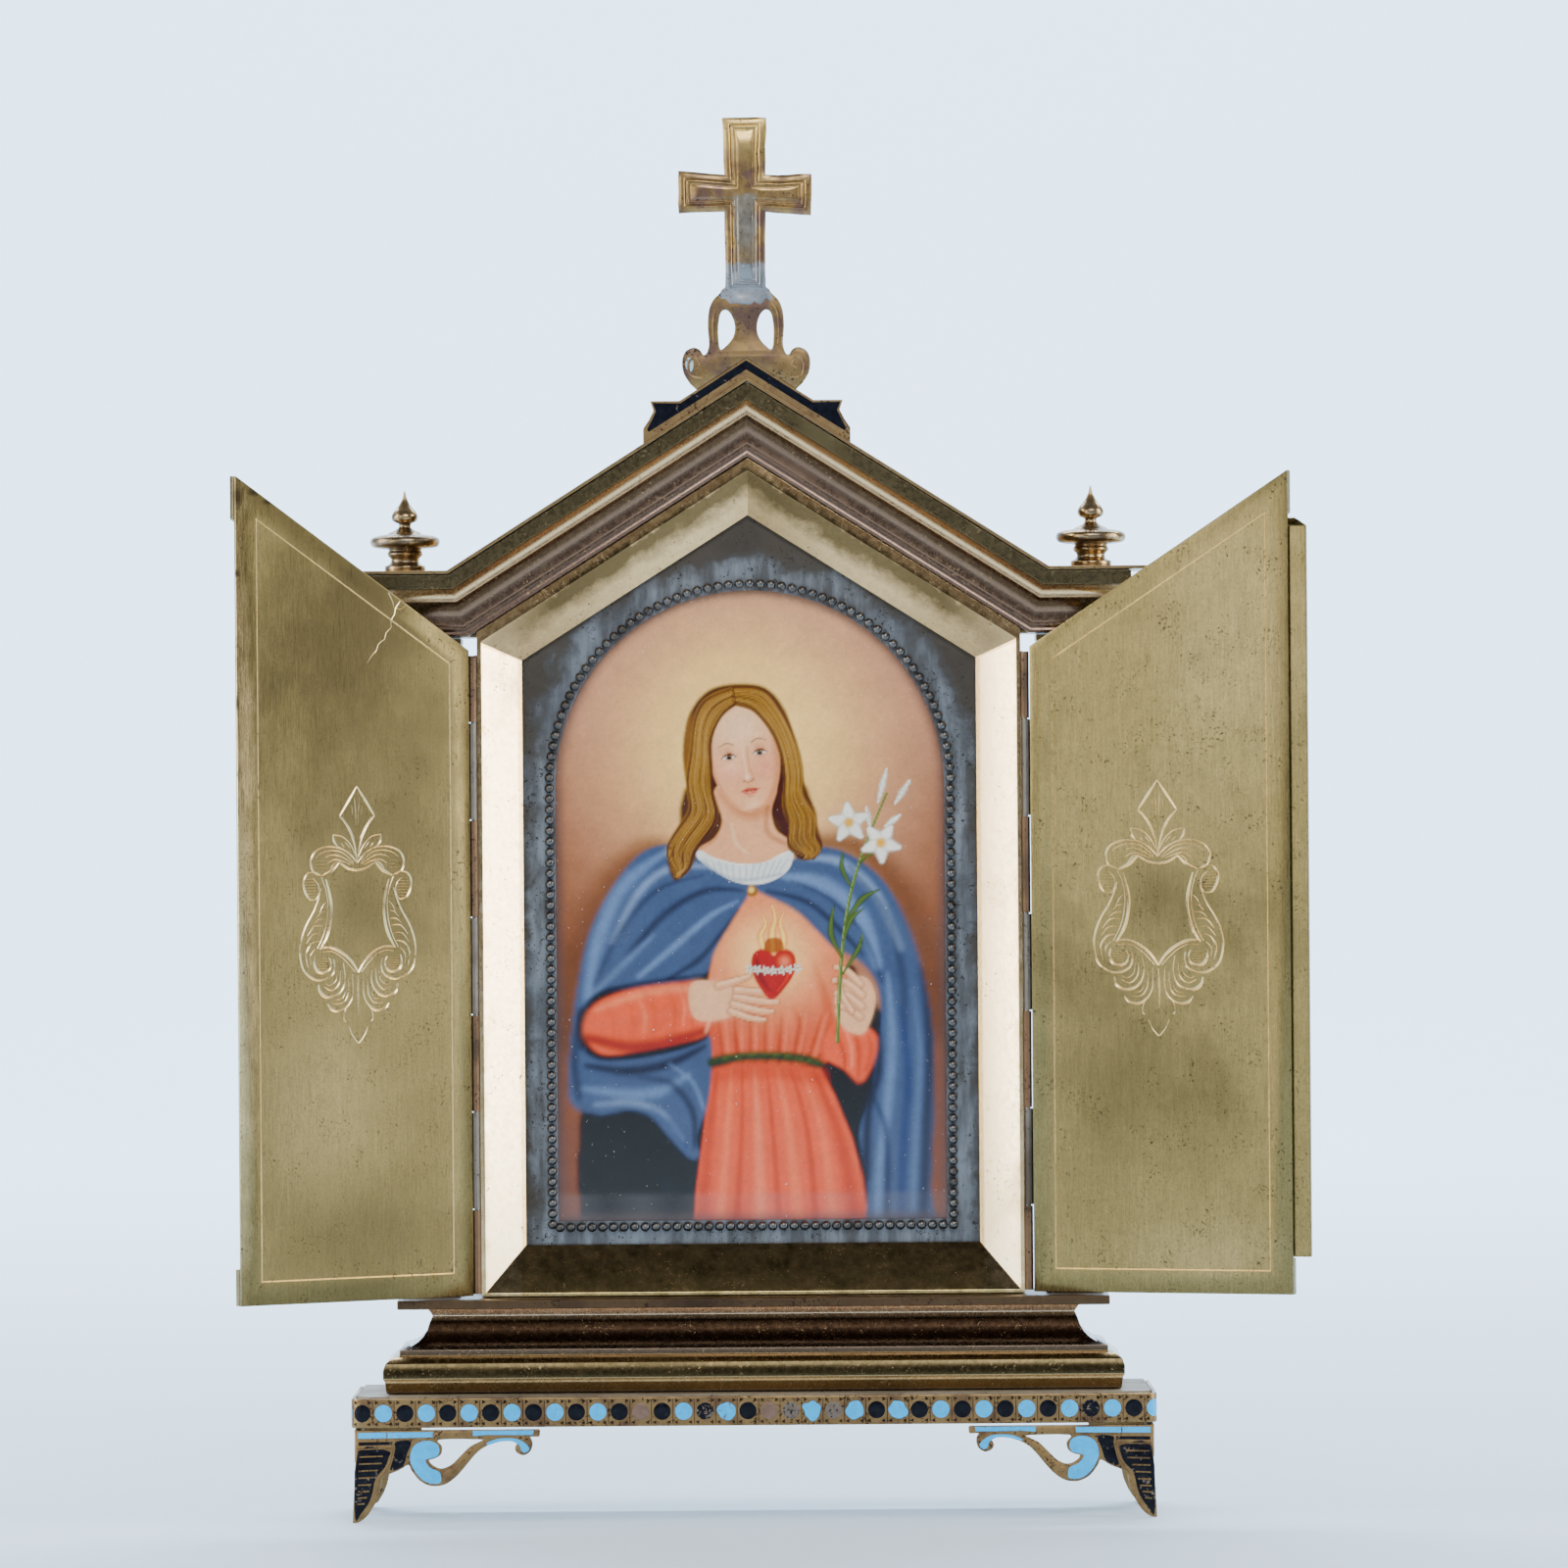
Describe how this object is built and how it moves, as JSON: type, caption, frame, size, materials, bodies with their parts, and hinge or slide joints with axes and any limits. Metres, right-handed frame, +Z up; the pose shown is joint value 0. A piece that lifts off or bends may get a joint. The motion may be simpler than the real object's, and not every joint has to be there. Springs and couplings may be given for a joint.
{
  "type": "portable oratory",
  "caption": "Gabled brass tabletop shrine with hinged doors, an arched painted plaque in a splayed frame, a cross on the ridge, and an enamelled stepped base on bracket feet.",
  "frame": {"origin": "on the ground, under the middle of the shrine's box with its doors as they stand", "axes": "+Z up, front and picture towards -Y, +X to the viewer's right"},
  "size_m": [0.2587, 0.0664, 0.3397],
  "materials": {
    "slab": "dull grey metal slab, dusty on top",
    "enamelled_brass": "darkened brass with turquoise and black enamel cells, partly lost",
    "aged_brass": "brown-gold lacquered brass, spotted in the hollows",
    "polished_brass": "bright polished gilt brass",
    "door_brass": "olive-gold brass sheet, brushed, tarnished in clouds, with bright-cut lines",
    "cast_brass": "cast brass, worn, with grey solder on the cross",
    "grey_mount": "grey patinated metal, polished near the opening",
    "painted_porcelain": "glossy painted porcelain",
    "hinge_steel": "pale worn metal"
  },
  "bodies": {
    "shrine": {"plinth_slab": "slab", "enamel_band": "enamelled_brass", "base_moulding": "aged_brass", "base_ledge": "aged_brass", "foot_front_left": "enamelled_brass", "foot_front_right": "enamelled_brass", "foot_back_left": "enamelled_brass", "foot_back_right": "enamelled_brass", "front_frame": "polished_brass", "case_walls": "aged_brass", "back_panel": "aged_brass", "picture_mount": "grey_mount", "bead_border": "grey_mount", "porcelain_plaque": "painted_porcelain", "cornice": "aged_brass", "wing_soffit_left": "aged_brass", "wing_soffit_right": "aged_brass", "roof_sheet": "aged_brass", "ridge_crest": "enamelled_brass", "cross": "cast_brass", "finial_left": "cast_brass", "finial_right": "cast_brass", "colonnette_left": "aged_brass", "colonnette_right": "aged_brass", "left_case_leaf": "aged_brass", "right_case_leaf": "aged_brass", "left_hinge_pin": "hinge_steel", "right_hinge_pin": "hinge_steel"},
    "left_door": {"left_door_sheet": "door_brass", "left_door_frame": "door_brass", "left_door_hinge_leaf": "hinge_steel"},
    "right_door": {"right_door_sheet": "door_brass", "right_door_frame": "door_brass", "right_door_hinge_leaf": "hinge_steel", "right_door_astragal": "door_brass"}
  },
  "joints": [
    {"name": "left_door_hinge", "type": "hinge", "parent": "shrine", "child": "left_door", "pos_m": [-0.07305, 0.00514, 0.13], "axis": [0, 0, -1], "range_deg": [-145.6, 15.4]},
    {"name": "right_door_hinge", "type": "hinge", "parent": "shrine", "child": "right_door", "pos_m": [0.06155, 0.00514, 0.13], "axis": [0, 0, 1], "range_deg": [-160.1, 0.9]}
  ]
}
